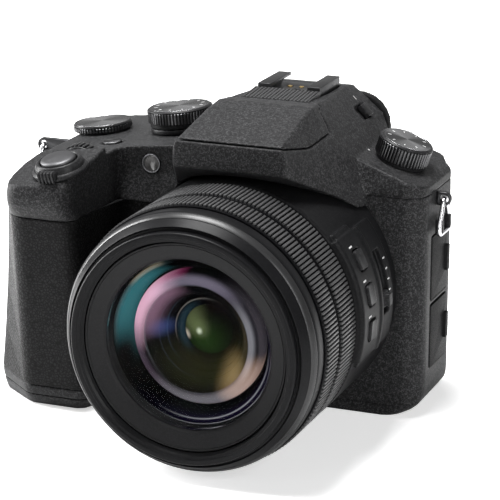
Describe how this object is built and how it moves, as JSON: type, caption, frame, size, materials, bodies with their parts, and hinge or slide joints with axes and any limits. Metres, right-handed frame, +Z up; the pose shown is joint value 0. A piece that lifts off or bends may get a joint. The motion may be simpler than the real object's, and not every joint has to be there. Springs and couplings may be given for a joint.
{
  "type": "bridge camera",
  "caption": "Bridge camera with a long fixed lens barrel, ribbed zoom and focus rings, deep hand grip, dials, pop-up flash roof, hot shoe and swing-out monitor.",
  "frame": {"origin": "mouth of the tripod socket, on the base plane", "axes": "+Z up, -Y out of the lens, +X toward the port doors, hand grip at -X"},
  "size_m": [0.1464, 0.1295, 0.1045],
  "materials": {
    "case_plastic": "satin, fine speckled texture",
    "grip_rubber": "leather grain",
    "ring_plastic": "ribbed, satin",
    "gloss_black": "polished black",
    "dial_metal": "spun",
    "button_metal": "satin",
    "steel": "brushed",
    "chrome": "polished",
    "frame_metal": "die cast",
    "glass": "coated",
    "screen": "glossy",
    "lamp": "tinted window",
    "board": "circuit board",
    "battery": "moulded"
  },
  "bodies": {
    "camera_body": {"front_case": "case_plastic", "grip_case": "case_plastic", "grip_rubber": "grip_rubber", "rear_case": "case_plastic", "thumb_rubber": "grip_rubber", "top_cover": "case_plastic", "base_cover": "case_plastic", "tripod_socket": "steel", "chassis": "frame_metal", "lens_tube": "case_plastic", "inner_barrel": "ring_plastic", "filter_ring": "gloss_black", "name_ring": "ring_plastic", "front_lens": "glass", "iris_unit": "ring_plastic", "sensor_unit": "board", "main_board": "board", "battery": "battery", "viewfinder_unit": "ring_plastic", "eyepiece_lens": "glass", "eyecup": "grip_rubber", "hot_shoe": "steel", "af_lamp": "lamp", "strap_lugs": "chrome"},
    "zoom_ring_body": {"zoom_ring": "ring_plastic"},
    "focus_ring_body": {"focus_ring": "ring_plastic"},
    "zoom_group_body": {"zoom_group": "ring_plastic"},
    "nd_slider_body": {"nd_slider": "ring_plastic"},
    "nd_wheel_body": {"nd_wheel": "ring_plastic"},
    "fn_button_1_body": {"fn_button_1": "ring_plastic"},
    "fn_button_2_body": {"fn_button_2": "ring_plastic"},
    "fn_button_3_body": {"fn_button_3": "ring_plastic"},
    "shutter_body": {"shutter_button": "button_metal"},
    "zoom_lever_body": {"zoom_lever": "ring_plastic"},
    "front_dial_body": {"front_dial": "ring_plastic"},
    "rear_dial_body": {"rear_dial": "dial_metal"},
    "mode_dial_body": {"mode_dial": "dial_metal"},
    "power_lever_body": {"power_lever": "ring_plastic"},
    "drive_dial_body": {"drive_dial": "dial_metal"},
    "record_body": {"record_button": "button_metal"},
    "flash_body": {"flash_lid": "case_plastic", "flash_window": "glass"},
    "flash_switch_body": {"flash_switch": "ring_plastic"},
    "monitor_body": {"monitor_hinge": "frame_metal", "monitor_frame": "case_plastic", "monitor_screen": "screen"},
    "nav_body": {"nav_pad": "ring_plastic"},
    "set_body": {"set_button": "ring_plastic"},
    "af_lock_body": {"af_lock_button": "ring_plastic"},
    "focus_lever_body": {"focus_lever": "ring_plastic"},
    "play_body": {"play_button": "ring_plastic"},
    "view_body": {"view_button": "ring_plastic"},
    "battery_door_body": {"battery_door": "case_plastic"},
    "battery_latch_body": {"battery_latch": "ring_plastic"},
    "port_door_upper_body": {"port_door_upper": "case_plastic"},
    "port_door_lower_body": {"port_door_lower": "case_plastic"},
    "strap_ring_right_body": {"strap_ring_right": "chrome"},
    "strap_ring_left_body": {"strap_ring_left": "chrome"},
    "diopter_body": {"diopter_wheel": "ring_plastic"}
  },
  "joints": [
    {"name": "zoom_ring_turn", "type": "hinge", "parent": "camera_body", "child": "zoom_ring_body", "pos_m": [0, -0.0635, 0.0426], "axis": [0, -1, 0], "continuous": true},
    {"name": "focus_ring_turn", "type": "hinge", "parent": "camera_body", "child": "focus_ring_body", "pos_m": [0, -0.077, 0.0426], "axis": [0, -1, 0], "continuous": true},
    {"name": "zoom_group_slide", "type": "slide", "parent": "camera_body", "child": "zoom_group_body", "axis": [0, 1, 0], "range_m": [0, 0.02]},
    {"name": "nd_slider_turn", "type": "hinge", "parent": "camera_body", "child": "nd_slider_body", "pos_m": [0, -0.0332, 0.0426], "axis": [0, -1, 0], "range_deg": [0, 17]},
    {"name": "nd_wheel_turn", "type": "hinge", "parent": "camera_body", "child": "nd_wheel_body", "pos_m": [0, -0.0393, 0.0561], "axis": [0, -1, 0], "range_deg": [0, 289]},
    {"name": "fn_button_1_press", "type": "slide", "parent": "camera_body", "child": "fn_button_1_body", "axis": [-0.8988, 0, -0.4384], "range_m": [0, 0.0005], "stiffness_N_per_m": 400},
    {"name": "fn_button_2_press", "type": "slide", "parent": "camera_body", "child": "fn_button_2_body", "axis": [-0.9816, 0, -0.1908], "range_m": [0, 0.0005], "stiffness_N_per_m": 400},
    {"name": "fn_button_3_press", "type": "slide", "parent": "camera_body", "child": "fn_button_3_body", "axis": [-0.9976, 0, 0.0698], "range_m": [0, 0.0005], "stiffness_N_per_m": 400},
    {"name": "shutter_press", "type": "slide", "parent": "camera_body", "child": "shutter_body", "axis": [0.1196, 0.1908, -0.9743], "range_m": [0, 0.001], "stiffness_N_per_m": 400},
    {"name": "zoom_lever_turn", "type": "hinge", "parent": "camera_body", "child": "zoom_lever_body", "pos_m": [-0.0586, -0.0544, 0.0819], "axis": [-0.1196, -0.1908, 0.9743], "range_deg": [-20, 20], "stiffness_Nm_per_rad": 0.03},
    {"name": "front_dial_turn", "type": "hinge", "parent": "camera_body", "child": "front_dial_body", "pos_m": [-0.061, -0.034, 0.07799], "axis": [0, -1, 0], "continuous": true},
    {"name": "rear_dial_turn", "type": "hinge", "parent": "camera_body", "child": "rear_dial_body", "pos_m": [-0.0686, -0.0015, 0.08239], "axis": [-0.1045, 0, 0.9945], "continuous": true},
    {"name": "mode_dial_turn", "type": "hinge", "parent": "camera_body", "child": "mode_dial_body", "pos_m": [-0.039, -0.003, 0.0855], "axis": [-0.1045, 0, 0.9945], "continuous": true},
    {"name": "power_lever_turn", "type": "hinge", "parent": "camera_body", "child": "power_lever_body", "pos_m": [-0.039, -0.003, 0.0855], "axis": [-0.1045, 0, 0.9945], "range_deg": [0, 35]},
    {"name": "drive_dial_turn", "type": "hinge", "parent": "camera_body", "child": "drive_dial_body", "pos_m": [0.0366, -0.001, 0.08153], "axis": [0.309, 0, 0.9511], "continuous": true},
    {"name": "record_press", "type": "slide", "parent": "camera_body", "child": "record_body", "axis": [0.1045, 0, -0.9945], "range_m": [0, 0.0006], "stiffness_N_per_m": 400},
    {"name": "flash_open", "type": "hinge", "parent": "camera_body", "child": "flash_body", "pos_m": [0, -0.0196, 0.10185], "axis": [-1, 0, 0], "range_deg": [0, 65]},
    {"name": "flash_switch_slide", "type": "slide", "parent": "camera_body", "child": "flash_switch_body", "axis": [0, -1, 0], "range_m": [0, 0.003], "stiffness_N_per_m": 150},
    {"name": "monitor_swing", "type": "hinge", "parent": "camera_body", "child": "monitor_body", "pos_m": [0.0415, 0.0226, 0.038], "axis": [0, 0, -1], "range_deg": [0, 180]},
    {"name": "nav_pad_press", "type": "slide", "parent": "camera_body", "child": "nav_body", "axis": [0, -1, 0], "range_m": [0, 0.0006], "stiffness_N_per_m": 400},
    {"name": "set_press", "type": "slide", "parent": "camera_body", "child": "set_body", "axis": [0, -1, 0], "range_m": [0, 0.0006], "stiffness_N_per_m": 400},
    {"name": "af_lock_press", "type": "slide", "parent": "camera_body", "child": "af_lock_body", "axis": [0, -1, 0], "range_m": [0, 0.0006], "stiffness_N_per_m": 400},
    {"name": "focus_lever_turn", "type": "hinge", "parent": "camera_body", "child": "focus_lever_body", "pos_m": [-0.04, 0.022, 0.066], "axis": [0, 1, 0], "range_deg": [-25, 25]},
    {"name": "play_press", "type": "slide", "parent": "camera_body", "child": "play_body", "axis": [0, -1, 0], "range_m": [0, 0.0006], "stiffness_N_per_m": 400},
    {"name": "view_press", "type": "slide", "parent": "camera_body", "child": "view_body", "axis": [0, -1, 0], "range_m": [0, 0.0006], "stiffness_N_per_m": 400},
    {"name": "battery_door_open", "type": "hinge", "parent": "camera_body", "child": "battery_door_body", "pos_m": [-0.0577, -0.019, 0.0012], "axis": [0, -1, 0], "range_deg": [0, 95]},
    {"name": "battery_latch_slide", "type": "slide", "parent": "battery_door_body", "child": "battery_latch_body", "axis": [-1, 0, 0], "range_m": [0, 0.0024]},
    {"name": "port_door_upper_open", "type": "hinge", "parent": "camera_body", "child": "port_door_upper_body", "pos_m": [0.0495, -0.007, 0.0485], "axis": [0, 0, -1], "range_deg": [0, 100]},
    {"name": "port_door_lower_open", "type": "hinge", "parent": "camera_body", "child": "port_door_lower_body", "pos_m": [0.0495, -0.007, 0.0253], "axis": [0, 0, -1], "range_deg": [0, 100]},
    {"name": "strap_ring_right_swing", "type": "hinge", "parent": "camera_body", "child": "strap_ring_right_body", "pos_m": [0.0526, -0.003, 0.0712], "axis": [0, -1, 0], "range_deg": [-4, 100]},
    {"name": "strap_ring_left_swing", "type": "hinge", "parent": "camera_body", "child": "strap_ring_left_body", "pos_m": [-0.0892, -0.005, 0.0764], "axis": [0, 1, 0], "range_deg": [-4, 100]},
    {"name": "diopter_turn", "type": "hinge", "parent": "camera_body", "child": "diopter_body", "pos_m": [-0.027, 0.017, 0.08], "axis": [-1, 0, 0], "range_deg": [-140, 140]}
  ],
  "couplings": [
    {"joint": "nd_wheel_turn", "follows": "nd_slider_turn", "ratio": 17}
  ]
}
